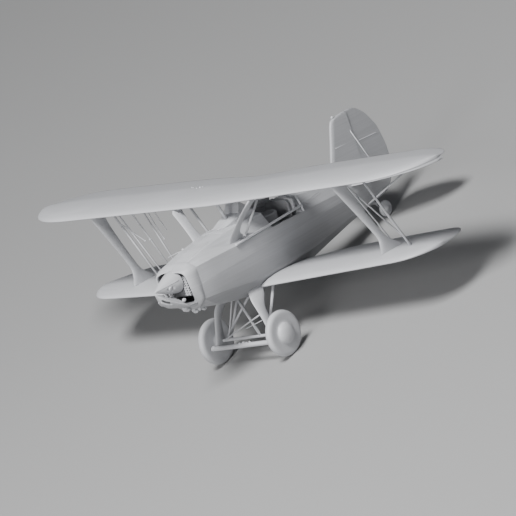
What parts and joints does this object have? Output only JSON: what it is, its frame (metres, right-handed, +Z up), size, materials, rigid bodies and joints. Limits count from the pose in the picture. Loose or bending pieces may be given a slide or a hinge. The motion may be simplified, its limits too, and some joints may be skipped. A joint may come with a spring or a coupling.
{
  "type": "biplane display model",
  "caption": "Grey printed display model of a single-seat biplane with open cowl, spinner without blades, strutted wings and a three-wheel stance.",
  "frame": {"origin": "middle of the parked model's footprint box, on the surface under its wheels", "axes": "+X to the aircraft's left, -Y to its nose, +Z up; the model is parked on its two wheels and its tail wheel"},
  "size_m": [0.208, 0.1373, 0.0607],
  "materials": {
    "grey_plastic": "matte, with fine printed layer lines"
  },
  "bodies": {
    "airframe": {"axle": "grey_plastic", "bay_stay_left_1": "grey_plastic", "bay_stay_left_2": "grey_plastic", "bay_stay_left_3": "grey_plastic", "bay_stay_right_1": "grey_plastic", "bay_stay_right_2": "grey_plastic", "bay_stay_right_3": "grey_plastic", "bay_stay_right_4": "grey_plastic", "cabane_stay_left": "grey_plastic", "cabane_stay_right": "grey_plastic", "centre_post": "grey_plastic", "chin_cowl": "grey_plastic", "cockpit_rail_left": "grey_plastic", "cockpit_rail_right": "grey_plastic", "cross_strut_1": "grey_plastic", "cross_strut_2": "grey_plastic", "engine_block": "grey_plastic", "fin": "grey_plastic", "fin_rod_left": "grey_plastic", "fin_rod_right": "grey_plastic", "front_cabane_strut_left": "grey_plastic", "front_cabane_strut_right": "grey_plastic", "front_gear_bar": "grey_plastic", "fuselage": "grey_plastic", "gear_leg_left": "grey_plastic", "gear_leg_right": "grey_plastic", "interplane_strut_left": "grey_plastic", "interplane_strut_right": "grey_plastic", "lower_wing_left": "grey_plastic", "lower_wing_right": "grey_plastic", "prop_shaft": "grey_plastic", "rear_gear_strut_left": "grey_plastic", "rear_gear_strut_right": "grey_plastic", "rudder": "grey_plastic", "screen_hump": "grey_plastic", "seat": "grey_plastic", "seat_back": "grey_plastic", "tail_fork": "grey_plastic", "tailplane_left": "grey_plastic", "tailplane_right": "grey_plastic", "tailplane_strut_left": "grey_plastic", "tailplane_strut_right": "grey_plastic", "upper_wing": "grey_plastic", "windscreen": "grey_plastic"},
    "wheel_left": {"wheel_left": "grey_plastic"},
    "wheel_right": {"wheel_right": "grey_plastic"},
    "tail_wheel": {"tail_wheel": "grey_plastic"},
    "spinner": {"blade_root_left": "grey_plastic", "blade_root_right": "grey_plastic", "spinner": "grey_plastic"}
  },
  "joints": [
    {"name": "left_wheel_spin", "type": "hinge", "parent": "airframe", "child": "wheel_left", "pos_m": [0.0179, -0.03826, 0.00885], "axis": [1, 0, 0], "continuous": true},
    {"name": "right_wheel_spin", "type": "hinge", "parent": "airframe", "child": "wheel_right", "pos_m": [-0.0179, -0.03826, 0.00885], "axis": [1, 0, 0], "continuous": true},
    {"name": "tail_wheel_spin", "type": "hinge", "parent": "airframe", "child": "tail_wheel", "pos_m": [0, 0.05242, 0.0032], "axis": [1, 0, 0], "continuous": true},
    {"name": "propeller_spin", "type": "hinge", "parent": "airframe", "child": "spinner", "pos_m": [0, -0.05652, 0.04799], "axis": [0, -0.968, 0.2511], "continuous": true}
  ]
}
